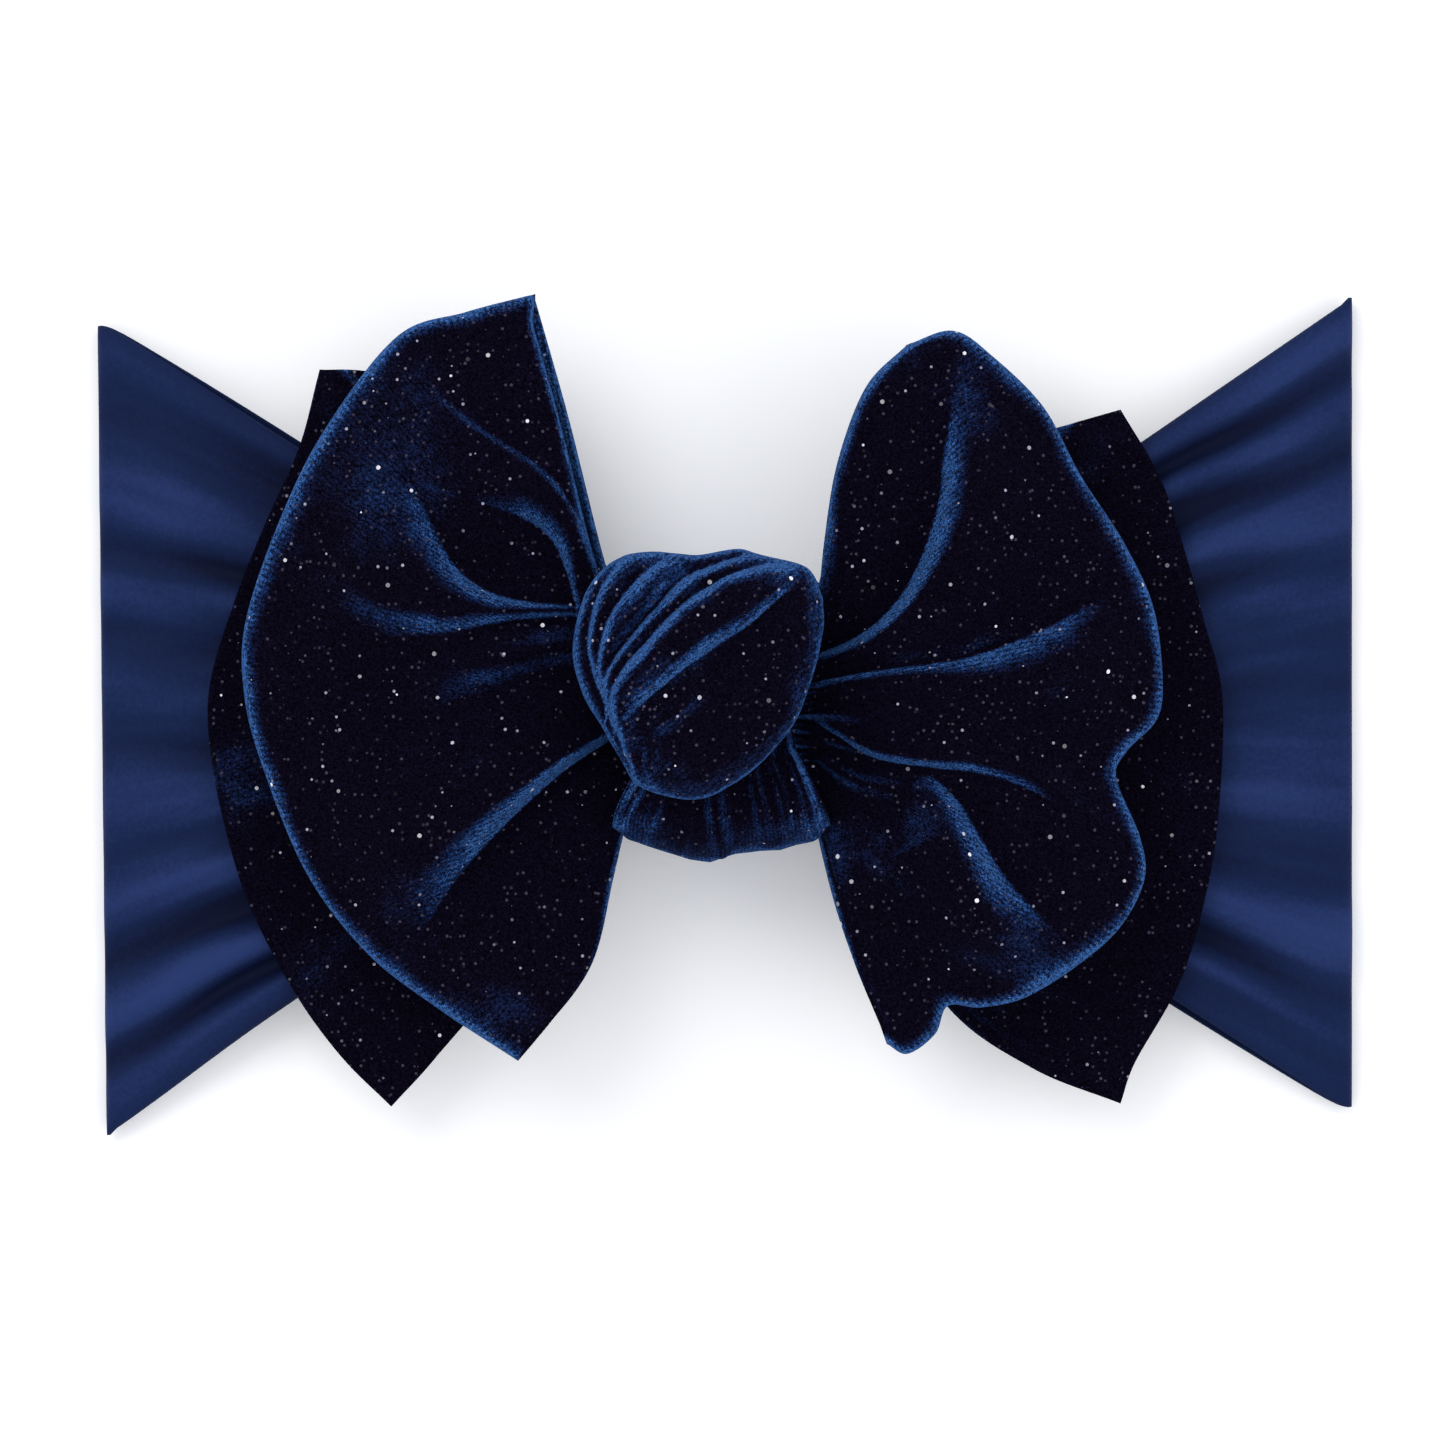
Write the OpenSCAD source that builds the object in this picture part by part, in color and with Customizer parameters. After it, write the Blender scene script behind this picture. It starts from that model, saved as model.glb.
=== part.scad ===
// Knotted headband: a wide nylon loop that carries two gathered velvet bow layers,
// held together by a velvet strip tied in an overhand knot.
// It lies flat on its back: +X along the loop, +Y up the bow, +Z out of the bow.
// The origin is on the resting plane, under the middle of the loop.

/* [Band] */
// Width of the loop lying flat, from fold to fold
band_w = 165; // [160:1:172]
// Width of the band's cloth along the end folds
cloth_w = 107.5; // [104:0.5:110]
// How much higher along Y the right fold sits than the left one
fold_skew = 2.7; // [0:0.1:4]
// Thickness of one ply of the band
ply_t = 1.2; // [0.8:0.1:1.4]
// Width of the gathered cloth under the bow
gather_w = 19; // [16:0.5:22]
// Outer height of the loop at its end folds
fold_h = 3.8; // [3.4:0.1:4.4]
// Height of the front ply's top under the bow
band_top = 12; // [11.6:0.1:12.2]

/* [Bow] */
// Width of the bow across its rear layer
bow_w = 132; // [124:1:138]
// Thickness of the rear layer
rear_t = 2.4; // [1.6:0.1:3]
// Greatest thickness of a front lobe, both plies and the air between them
front_t = 9; // [8:0.5:10]
// Drop of a rear lobe from its root to its tip, in degrees
rear_droop = 5.4; // [4:0.2:5.6]
// Width of the front layer's gathered middle
waist_h = 28; // [26:0.5:29]

/* [Knot] */
// Outer diameter of the knot's ring of cloth
knot_d = 32; // [29:0.5:33]
// Direction of the strand that crosses the knot's front, from +X
strand_dir = 54; // [45:1:60]
// Length of that strand
strand_l = 34; // [30:0.5:36]
// Width of the strip where it wraps the waist
wrap_w = 25.6; // [22:0.2:26]
// Thickness of the strip where it wraps the waist
wrap_t = 1.5; // [1:0.1:1.6]

/* [Sewing] */
// Diameter of the gathering thread
thread_d = 0.6; // [0.4:0.1:0.7]
// Turns of thread round each bow layer
thread_turns = 3; // [2:1:4]
// Stitches that close the strip at the back
stitch_count = 5; // [3:1:6]

/* [Hidden] */
$fn = 48;

nylon_colour = [0.13, 0.19, 0.36];
velvet_colour = [0.06, 0.07, 0.17];
velvet_edge_colour = [0.12, 0.22, 0.42];
thread_colour = [0.05, 0.06, 0.12];

gap = 0.3;
bow_scale = bow_w / 132;

// Heights of the stack at the middle, from the table up
back_gather_t = 2.6;
seam_r = 1.4;
wrap_back_z = back_gather_t + seam_r + gap;
bundle_z = wrap_back_z + wrap_t + gap;
rear_waist_z = band_top + gap;
rear_waist_t = 4.6;
rear_waist_h = 25;
front_waist_z = rear_waist_z + rear_waist_t + gap;
front_waist_t = 6;
wrap_front_z = front_waist_z + front_waist_t + gap;
knot_z = wrap_front_z + wrap_t + gap;

// The knot's middle, and the wrap's, a little off the bow's own
knot_pos = [-3.3, 5.5];
wrap_x = -0.5;
wrap_y = 0.6;
wrap_side_t = 4;

// Hinge lines where the lobes leave the waist
left_hinge_x = -15.5;
right_hinge_x = 14.3;
root_gap = 0.9;
front_hinge_z = front_waist_z + front_waist_t / 2;
rear_hinge_z = rear_waist_z + rear_waist_t / 2;

// ---- curves ----

// Catmull-Rom point between b and c
function spline_point(a, b, c, d, t) =
    0.5 * (2 * b + (c - a) * t + (2 * a - 5 * b + 4 * c - d) * t * t
           + (3 * b - a - 3 * c + d) * t * t * t);

// Smooth open curve through pts, which keeps its two ends as corners
function smooth_run(pts, steps = 4) =
    let (n = len(pts))
    [for (i = [0 : n - 2], s = [0 : steps - 1])
        spline_point(pts[max(i - 1, 0)], pts[i], pts[i + 1], pts[min(i + 2, n - 1)], s / steps)];

// 1 at the middle of the loop and 0 beyond the gather, where the plies are at their own thickness
function gather_share(x) =
    let (t = min(1, max(0, (20 - abs(x)) / 6)))
    t * t * (3 - 2 * t);

// Height of the front ply's outer face at x
function loop_top(x, half) = fold_h + (band_top - fold_h) * cos(90 * x / half);

// ---- band ----

// Half a circle of points, turning clockwise from the angle start
function half_turn(centre, r, start) =
    [for (i = [0 : 8]) let (a = start - 22.5 * i) centre + r * [cos(a), sin(a)]];

// The loop's cross-section: its outer face between x = -half and half, and its round end folds
module loop_outer(half, r) {
    steps = 36;
    xs = [for (i = [1 : steps - 1]) -half + 2 * half * i / steps];
    polygon(concat([for (x = xs) [x, loop_top(x, half)]], half_turn([half, r], r, 90),
                   half_turn([-half, r], r, -90)));
}

// The space inside the loop, narrower at the middle, where both plies are gathered thick
module loop_inner(half, r) {
    steps = 44;
    front_gather_t = band_top - bundle_z;
    xs = [for (i = [1 : steps - 1]) -half + 2 * half * i / steps];
    polygon(concat(
        [for (x = xs) [x, loop_top(x, half) - ply_t - (front_gather_t - ply_t) * gather_share(x)]],
        half_turn([half, r], r - ply_t, 90),
        [for (x = xs) [-x, ply_t + (back_gather_t - ply_t) * gather_share(x)]],
        half_turn([-half, r], r - ply_t, -90)));
}

// The flat band's outline: wide at both folds, narrow under the bow, with a slant to the left fold
module bow_tie() {
    half = band_w / 2;
    neck = 16;
    slant = 1.2;
    rise = fold_skew / 2;
    polygon([[-half, cloth_w / 2 - rise], [-neck, gather_w / 2], [neck, gather_w / 2],
             [half, cloth_w / 2 + rise], [half, rise - cloth_w / 2], [neck, -gather_w / 2],
             [-neck, -gather_w / 2], [slant - half, -rise - cloth_w / 2]]);
}

module nylon_band() {
    r = fold_h / 2;
    half = band_w / 2 - r;
    color(nylon_colour)
    intersection() {
        rotate([90, 0, 0]) linear_extrude(height = 2 * cloth_w, center = true)
            difference() {
                loop_outer(half, r);
                loop_inner(half, r);
            }
        translate([0, 0, -1]) linear_extrude(height = band_top + 2) bow_tie();
    }
}

// Rolled seam allowance inside the back ply, bound with overlock turns
module band_back_seam() {
    seam_l = gather_w - 3;
    turns = 8;
    color(nylon_colour)
    translate([0, 0, back_gather_t])
    intersection() {
        union() {
            rotate([90, 0, 0]) cylinder(r = seam_r - thread_d / 2, h = seam_l, center = true);
            for (i = [0 : turns - 1])
                translate([0, (i + 0.5 - turns / 2) * seam_l / turns, 0])
                    rotate([90, 0, 0]) cylinder(r = seam_r, h = thread_d, center = true);
        }
        translate([0, 0, seam_r]) cube([4 * seam_r, 2 * seam_l, 2 * seam_r], center = true);
    }
}

// ---- bow layers ----

// Room between the gathering thread and its groove
thread_slack = 0.1;

// A flattened oval bar along X, the gathered middle of a layer
module waist_bar(x0, x1, width, height) {
    r = height / 2;
    rotate([90, 0, 90]) translate([0, 0, x0]) linear_extrude(height = x1 - x0) {
        square([width - height, height], center = true);
        for (side = [-1, 1]) translate([side * (width / 2 - r), 0]) circle(r = r);
    }
}

// A layer's waist, between its two hinge lines, with a groove round it for the gathering thread
module waist(z, width, height) {
    groove = thread_d + thread_slack;
    hinge_gap = 0.3;
    x0 = left_hinge_x + hinge_gap;
    x1 = right_hinge_x - hinge_gap;
    half_groove = thread_turns * thread_d / 2 + thread_slack;
    translate([0, wrap_y, z + height / 2])
    difference() {
        waist_bar(x0, x1, width, height);
        difference() {
            waist_bar(-half_groove, half_groove, width + 1, height + 1);
            waist_bar(-half_groove - 1, half_groove + 1, width - 2 * groove, height - 2 * groove);
        }
    }
}

// Turns of thread that lie side by side in a waist's groove
module gather_thread(z, width, height) {
    groove = thread_d + thread_slack;
    for (i = [0 : thread_turns - 1]) {
        x = (i + 0.5 - thread_turns / 2) * thread_d;
        translate([x, wrap_y, z + height / 2])
        difference() {
            waist_bar(-thread_d / 2, thread_d / 2, width - thread_slack, height - thread_slack);
            waist_bar(-thread_d, thread_d, width - 2 * groove + thread_slack,
                      height - 2 * groove + thread_slack);
        }
    }
}

module rear_bow_waist() {
    color(velvet_colour) waist(rear_waist_z, rear_waist_h, rear_waist_t);
}

module rear_gather_thread() {
    color(thread_colour) gather_thread(rear_waist_z, rear_waist_h, rear_waist_t);
}

module front_bow_waist() {
    color(velvet_colour) waist(front_waist_z, waist_h, front_waist_t);
}

module front_gather_thread() {
    color(thread_colour) gather_thread(front_waist_z, waist_h, front_waist_t);
}

// Outlines, root to tip and back, each run ending at a corner of the cloth
front_left_top_cut = [[-16.3, 17], [-17.2, 25], [-20.2, 38.6], [-24.7, 54.5]];
front_left_fold = [[-24.7, 54.5], [-30.6, 53], [-42.3, 49.1], [-51.5, 37.3], [-57.4, 25.6], [-61.9, 12.5],
                   [-62.2, 3.4], [-60, -5.7], [-54.1, -20.1], [-46.3, -30.5], [-37.1, -37.7], [-26.7, -44.5]];
front_left_bottom_cut = [[-26.7, -44.5], [-22.8, -39.7], [-18, -31.8], [-16.5, -24], [-16.3, -13.5]];

front_right_top = [[15.1, 18], [15.4, 28.2], [16.8, 37.3], [20.3, 45.2], [26.8, 49.5], [30.1, 49.7],
                   [34.6, 46.5], [41.2, 39.9], [47.7, 28.2], [54.2, 20.4], [56.2, 9.9], [56.4, 2.1],
                   [50.3, -7]];
front_right_low = [[50.3, -7], [51.6, -11], [54.2, -17.5], [54.2, -21.4], [51, -27.3], [45.1, -32.5],
                   [38.6, -36.4], [28.8, -37.1]];
front_right_tail = [[28.8, -37.1], [27.5, -41], [23.6, -43.6], [20.9, -42.3], [17.7, -31.8], [15.3, -21.4],
                    [15.1, -14]];

rear_left_top = [[-16.1, 12], [-30, 34], [-45.6, 45.8], [-52.8, 45.2]];
rear_left_cut = [[-52.8, 45.2], [-55.4, 34.7], [-62, 20], [-67.2, 4.7], [-67.1, -4.4], [-63.2, -21.4],
                 [-55.4, -37.1], [-43.5, -50.8]];
rear_left_bottom = [[-43.5, -50.8], [-37.1, -43.6], [-30, -36], [-16.1, -11]];

rear_right_top = [[14.9, 12], [30, 32], [43.8, 37.3], [51.6, 39.9]];
rear_right_cut = [[51.6, 39.9], [57.5, 28.2], [64.9, 3.4], [64, -16.2], [59.4, -35.1], [53.6, -44.9],
                  [51.6, -50.5]];
rear_right_bottom = [[51.6, -50.5], [41.2, -46.2], [30, -37], [14.9, -11]];

module outline(runs) {
    scale([bow_scale, bow_scale]) polygon([for (run = runs) each smooth_run(run)]);
}

function hinge_x(side) = side < 0 ? left_hinge_x : right_hinge_x;

// Everything on the lobe's side of its root
module root_side(side) {
    past_lobe = 160;
    translate([hinge_x(side) + side * (root_gap + past_lobe / 2), 0, 0]) cube(past_lobe, center = true);
}

// Soft grooves between the pleats, which fan out from the root at the angles given
module pleat_grooves(side, angles) {
    start = 9;
    reach = 34;
    depth = 0.6;
    for (a = angles)
        translate([hinge_x(side), wrap_y, front_hinge_z + front_t / 2 - depth])
            rotate([0, 0, side < 0 ? 180 - a : a])
                translate([start, 0, 0]) rotate([0, 90, 0]) cylinder(r1 = 1.5, r2 = 0.6, h = reach);
}

module front_lobe(side, runs, angles) {
    lobe_middle = 39;
    difference() {
        intersection() {
            translate([0, 0, front_hinge_z - front_t]) linear_extrude(height = 2 * front_t) outline(runs);
            root_side(side);
            translate([side * lobe_middle, 0, front_hinge_z]) crown();
        }
        pleat_grooves(side, angles);
    }
}

// Puffed block between two shallow curves each way, thickest over the middle of a lobe
module crown() {
    along_r = 84;
    across_r = 620;
    past_lobe = 160;
    intersection() {
        translate([0, 0, front_t / 2 - along_r]) rotate([90, 0, 0])
            cylinder(r = along_r, h = past_lobe, center = true, $fn = 180);
        translate([0, 0, along_r - front_t / 2]) rotate([90, 0, 0])
            cylinder(r = along_r, h = past_lobe, center = true, $fn = 180);
        translate([0, 0, front_t / 2 - across_r]) rotate([0, 90, 0])
            cylinder(r = across_r, h = past_lobe, center = true, $fn = 360);
        translate([0, 0, across_r - front_t / 2]) rotate([0, 90, 0])
            cylinder(r = across_r, h = past_lobe, center = true, $fn = 360);
    }
}

// A flat sheet that droops from its root to its tip
module rear_lobe(side, runs) {
    intersection() {
        translate([hinge_x(side), 0, rear_hinge_z]) rotate([0, side * rear_droop, 0])
            translate([-hinge_x(side), 0, -rear_t / 2]) linear_extrude(height = rear_t) outline(runs);
        root_side(side);
    }
}

module rear_bow_left_lobe() {
    color(velvet_colour) rear_lobe(-1, [rear_left_top, rear_left_cut, rear_left_bottom]);
}

module rear_bow_right_lobe() {
    color(velvet_colour) rear_lobe(1, [rear_right_top, rear_right_cut, rear_right_bottom]);
}

module front_bow_left_lobe() {
    color(velvet_edge_colour)
        front_lobe(-1, [front_left_top_cut, front_left_fold, front_left_bottom_cut], [52, 28, 4, -20, -44]);
}

module front_bow_right_lobe() {
    color(velvet_edge_colour)
        front_lobe(1, [front_right_top, front_right_low, front_right_tail], [62, 36, 10, -14, -40]);
}

// ---- knot ----

// Spindle along X, the strand that crosses the knot
module spindle(length, width) {
    rotate([0, 90, 0]) rotate_extrude()
        polygon([for (a = [-90 : 15 : 90]) [max(0, width / 2 * cos(a)), length / 2 * sin(a)]]);
}

// A filled ring of cloth with one strand across its front
module knot_head() {
    ring_r = 6.4;
    strand_w = 20;
    strand_rise = 11;
    strand_shift = [1.5, -1];
    color(velvet_edge_colour)
    translate([knot_pos.x, knot_pos.y, 0]) {
        translate([0, 0, knot_z + ring_r]) {
            rotate_extrude() translate([knot_d / 2 - ring_r, 0]) circle(r = ring_r);
            cylinder(r = knot_d / 2 - ring_r, h = 2 * ring_r, center = true);
        }
        translate([strand_shift.x, strand_shift.y, knot_z + strand_rise])
            rotate([0, 0, strand_dir]) spindle(strand_l, strand_w);
    }
}

// Rounded rectangle in the YZ plane
module round_box(width, height, r) {
    square([width - 2 * r, height], center = true);
    square([width, height - 2 * r], center = true);
    for (sx = [-1, 1], sy = [-1, 1])
        translate([sx * (width / 2 - r), sy * (height / 2 - r)]) circle(r = r);
}

// The strip's two ends, which run round the gathered layers and meet behind
module knot_wrap() {
    inner_w = waist_h + 2 * gap;
    inner_h = wrap_front_z - wrap_back_z - wrap_t;
    outer_w = inner_w + 2 * wrap_side_t;
    outer_h = inner_h + 2 * wrap_t;
    back_share = 0.66;
    back_w = back_share * wrap_w;
    inner_r = front_waist_t / 2 + gap;
    outer_r = 6;
    color(velvet_colour)
    translate([wrap_x, wrap_y, wrap_back_z])
    intersection() {
        rotate([90, 0, 90]) translate([0, outer_h / 2, 0])
            linear_extrude(height = wrap_w, center = true)
                difference() {
                    round_box(outer_w, outer_h, outer_r);
                    round_box(inner_w, inner_h, inner_r);
                }
        rotate([90, 0, 0]) linear_extrude(height = 2 * outer_w, center = true)
            polygon([[-back_w / 2, -1], [-back_w / 2, 2], [-wrap_w / 2, 10], [-wrap_w / 2, 30],
                     [wrap_w / 2, 30], [wrap_w / 2, 10], [back_w / 2, 2], [back_w / 2, -1]]);
    }
}

// Hand stitches across the overlap, on the face that the head touches
module wrap_closing_stitches() {
    stitch_l = 4;
    pitch = 3;
    color(thread_colour)
    for (i = [0 : stitch_count - 1])
        translate([wrap_x + (i - (stitch_count - 1) / 2) * pitch, wrap_y - 6, wrap_back_z])
            rotate([0, 0, 12]) {
                rotate([90, 0, 0]) cylinder(d = thread_d, h = stitch_l, center = true);
                for (end = [-1, 1]) translate([0, end * stitch_l / 2, 0]) sphere(d = thread_d);
            }
}

nylon_band();
band_back_seam();
rear_bow_waist();
rear_bow_left_lobe();
rear_bow_right_lobe();
rear_gather_thread();
front_bow_waist();
front_bow_left_lobe();
front_bow_right_lobe();
front_gather_thread();
knot_head();
knot_wrap();
wrap_closing_stitches();
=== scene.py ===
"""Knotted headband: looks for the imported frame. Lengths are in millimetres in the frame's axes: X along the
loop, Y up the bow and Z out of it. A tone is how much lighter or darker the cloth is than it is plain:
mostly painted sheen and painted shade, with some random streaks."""
import math

import bmesh
import bpy
import numpy as np
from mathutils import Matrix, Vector, noise


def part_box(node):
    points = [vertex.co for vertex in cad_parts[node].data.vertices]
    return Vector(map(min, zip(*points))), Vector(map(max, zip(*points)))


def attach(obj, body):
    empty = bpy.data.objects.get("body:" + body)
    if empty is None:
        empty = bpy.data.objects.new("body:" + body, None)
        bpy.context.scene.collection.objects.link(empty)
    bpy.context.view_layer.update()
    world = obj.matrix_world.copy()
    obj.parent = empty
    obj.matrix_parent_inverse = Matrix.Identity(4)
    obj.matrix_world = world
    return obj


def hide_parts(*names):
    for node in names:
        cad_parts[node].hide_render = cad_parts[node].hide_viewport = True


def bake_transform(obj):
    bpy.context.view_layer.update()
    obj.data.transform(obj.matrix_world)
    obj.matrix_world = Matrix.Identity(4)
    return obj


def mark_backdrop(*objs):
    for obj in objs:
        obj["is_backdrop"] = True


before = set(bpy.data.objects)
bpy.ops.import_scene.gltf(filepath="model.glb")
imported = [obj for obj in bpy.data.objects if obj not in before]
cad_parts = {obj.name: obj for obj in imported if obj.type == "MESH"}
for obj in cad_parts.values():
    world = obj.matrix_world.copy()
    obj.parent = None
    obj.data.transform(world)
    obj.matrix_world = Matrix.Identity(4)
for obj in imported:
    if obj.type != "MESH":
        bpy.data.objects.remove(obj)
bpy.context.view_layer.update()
MM = 0.001


def box_mm(node):
    """A CAD node's lowest and highest corners, in millimetres."""
    low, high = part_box(node)
    return np.array(low) / MM, np.array(high) / MM


# ---- curves and fields

def smoothstep(t):
    t = np.clip(t, 0.0, 1.0)
    return t * t * (3 - 2 * t)


def wave(turns):
    """A sine that repeats every whole turn."""
    return np.sin(2 * math.pi * turns)


def catmull(points, steps=24):
    """Smooth open curve through points, which may carry more values after x and y."""
    p = np.asarray(points, float)
    ext = np.vstack([2 * p[0] - p[1], p, 2 * p[-1] - p[-2]])
    t = np.linspace(0, 1, steps, endpoint=False)[:, None]
    runs = []
    for a, b, c, d in zip(ext[:-3], ext[1:-2], ext[2:-1], ext[3:]):
        runs.append(0.5 * (2 * b + (c - a) * t + (2 * a - 5 * b + 4 * c - d) * t**2
                           + (3 * b - a - 3 * c + d) * t**3))
    return np.vstack([*runs, p[-1:]])


def lengths(points, axis=0):
    """How far each point is along its line of points, from the first one."""
    step = np.linalg.norm(np.diff(points, axis=axis), axis=-1)
    return np.cumsum(np.insert(step, 0, 0, axis=axis), axis=axis)


def resample(line, count, spacing=None):
    """count points along line, evenly by arc length or at the shares in spacing."""
    along = lengths(line[:, :2])
    at = (np.linspace(0, 1, count) if spacing is None else spacing) * along[-1]
    return np.stack([np.interp(at, along, line[:, k]) for k in range(line.shape[1])], axis=1)


def coons(root, far, low, high, u):
    """Patch between four edges: root and far run across it, low and high run out along u."""
    v = np.linspace(0, 1, len(root))[None, :, None]
    u = u[:, None, None]
    ruled_u = (1 - u) * root[None] + u * far[None]
    ruled_v = (1 - v) * low[:, None] + v * high[:, None]
    corners = ((1 - u) * (1 - v) * root[0] + (1 - u) * v * root[-1]
               + u * (1 - v) * far[0] + u * v * far[-1])
    return ruled_u + ruled_v - corners


def along_line(xy, line):
    """Signed distance of each point from a polyline, left of it positive, and the line's values there."""
    shortest = 1e-9
    p = xy.reshape(-1, 2)
    best = np.full(len(p), np.inf)
    side = np.ones(len(p))
    values = np.zeros((len(p), line.shape[1] - 2))
    for a, b in zip(line[:-1], line[1:]):
        d = b[:2] - a[:2]
        rel = p - a[:2]
        t = np.clip(rel @ d / max(d @ d, shortest), 0, 1)
        off = rel - t[:, None] * d
        dist = np.hypot(off[:, 0], off[:, 1])
        near = dist < best
        best[near] = dist[near]
        side[near] = np.where(d[0] * rel[near, 1] - d[1] * rel[near, 0] >= 0, 1.0, -1.0)
        values[near] = a[2:] + t[near, None] * (b[2:] - a[2:])
    shape = xy.shape[:-1]
    return (best * side).reshape(shape), values.reshape(*shape, -1)


def quarter_round(distance, radius):
    """Share of full height over a rounded edge: 0 at the edge, 1 at radius from it and beyond."""
    return np.sqrt(np.clip(1 - (1 - np.clip(distance / radius, 0, 1)) ** 2, 0, 1))


def spots(xy, *ovals):
    """Soft oval spots, added up. Each is (x, y, half width, half height, amount)."""
    x, y = xy[..., 0], xy[..., 1]
    return sum(amount * np.exp(-((x - at_x) / wide) ** 2 - ((y - at_y) / high) ** 2)
               for at_x, at_y, wide, high, amount in ovals)


class Relief:
    """Folds laid on a patch of cloth: their height z, and the slope of their gentle sides, lee, where the
    pile lies away from the eye and the front lobes paint shade to make it look darker."""

    NARROWEST = 0.3
    LIP_STRETCH = 1.25
    LIP_STEEPNESS = 2.2

    def __init__(self, xy):
        self.xy = xy
        self.z = np.zeros(xy.shape[:-1])
        self.lee = np.zeros(xy.shape[:-1])

    def measure(self, points, count):
        """Distance of the patch from the line through points, and the line's height and width there."""
        distance, value = along_line(self.xy, resample(catmull(points, 12), count))
        return distance, value[..., 0], np.maximum(value[..., 1], self.NARROWEST)

    def fold(self, points, fall, side=1, valley=0.16, valley_width=1.6):
        """A fold. points are (x, y, height, lip): the crease runs through x, y, and on its lip side the
        cloth rises over the lip's width, steepest at the crease, then falls gently away."""
        d, height, lip = self.measure(points, 70)
        d, lip = d * side, lip * self.LIP_STRETCH
        rise = 1 - (1 - np.clip(d / lip, 0, 1)) ** self.LIP_STEEPNESS
        beyond = np.pi * np.clip((d - lip) / fall, 0, 1)
        crease = valley * height
        on_lip = np.where(d > lip, height * 0.5 * (1 + np.cos(beyond)), -crease + (height + crease) * rise)
        below = -crease * np.exp(-(np.minimum(d, 0) / valley_width) ** 2)
        self.z = self.z + np.where(d >= 0, on_lip, below)
        self.lee = self.lee + np.where(d > lip, height * np.sin(beyond) * np.pi / 2 / fall, 0)

    def swell(self, points):
        """A soft rounded ridge. points are (x, y, height, half width)."""
        d, height, half_width = self.measure(points, 50)
        self.z = self.z + height * np.exp(-(d / half_width) ** 2)


def noise_field(xyz, size, seed):
    """Smooth noise over points, with features about size millimetres across."""
    slice_z = 0.37
    flat = xyz.reshape(-1, xyz.shape[-1]) / size
    if flat.shape[1] == 2:
        flat = np.column_stack([flat, np.full(len(flat), slice_z)])
    values = [noise.noise(Vector((x + seed, y - seed, z + 2 * seed))) for x, y, z in flat]
    return np.array(values).reshape(xyz.shape[:-1])


def standing(z, passes=14):
    """How far each point stands above the cloth round it: over 0 on ridges, under 0 in creases."""
    deepest, highest = -1.2, 0.8
    soft = z
    for _ in range(passes):
        wide = np.pad(soft, 1, mode="edge")
        soft = (wide[:-2, 1:-1] + wide[2:, 1:-1] + wide[1:-1, :-2] + wide[1:-1, 2:]) / 4
    return np.clip(z - soft, deepest, highest)


# ---- mesh making

def show(name, data):
    """A new object in the scene."""
    thing = bpy.data.objects.new(name, data)
    bpy.context.scene.collection.objects.link(thing)
    return thing


def outward(points, upward):
    """Whether the grid's normals point away from its middle, or up if upward."""
    du = np.gradient(points, axis=0)
    dv = np.gradient(points, axis=1)
    normal = np.cross(du, dv)
    if upward:
        return normal[..., 2].sum() > 0
    return (normal * (points - points.reshape(-1, 3).mean(axis=0))).sum() > 0


def sheet_mesh(name, points, uv, material, tone=0.0, closed=(False, False), thickness=0.0, upward=False):
    """Quad mesh over a grid of points, with its outer side out. uv is in millimetres of flat cloth, closed
    says which ways the grid meets itself, and upward is for cloth with no inside."""
    rows, cols = points.shape[:2]
    i, j = np.meshgrid(np.arange(rows - (not closed[0])), np.arange(cols - (not closed[1])), indexing="ij")
    i2, j2 = (i + 1) % rows, (j + 1) % cols
    quads = np.stack([i * cols + j, i2 * cols + j, i2 * cols + j2, i * cols + j2], axis=-1).reshape(-1, 4)
    corner_uv = np.stack([uv[i, j], uv[i2, j], uv[i2, j2], uv[i, j2]], axis=-2).reshape(-1, 4, 2)
    if not outward(points, upward):
        quads, corner_uv = quads[:, ::-1], corner_uv[:, ::-1]
    mesh = bpy.data.meshes.new(name)
    mesh.from_pydata((points.reshape(-1, 3) * MM).tolist(), [], quads.tolist())
    mesh.uv_layers.new(name="cloth_mm").data.foreach_set("uv", corner_uv.reshape(-1).astype(np.float32))
    tones = np.broadcast_to(np.asarray(tone, np.float32), (rows, cols)).reshape(-1)
    mesh.attributes.new("tone", "FLOAT", "POINT").data.foreach_set("value", np.ascontiguousarray(tones))
    mesh.polygons.foreach_set("use_smooth", np.ones(len(quads), bool))
    mesh.materials.append(material)
    mesh.update()
    piece = show(name, mesh)
    if thickness:
        thicken(piece, thickness)
    return piece


def thicken(piece, thickness):
    """Gives the cloth its thickness on its inner side, and applies it."""
    solid = piece.modifiers.new("cloth", "SOLIDIFY")
    solid.thickness = thickness * MM
    solid.offset = -1
    evaluated = piece.evaluated_get(bpy.context.evaluated_depsgraph_get())
    mesh = bpy.data.meshes.new_from_object(evaluated)
    old = piece.data
    piece.modifiers.clear()
    piece.data = mesh
    bpy.data.meshes.remove(old)
    mesh.name = piece.name


# ---- materials

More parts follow.
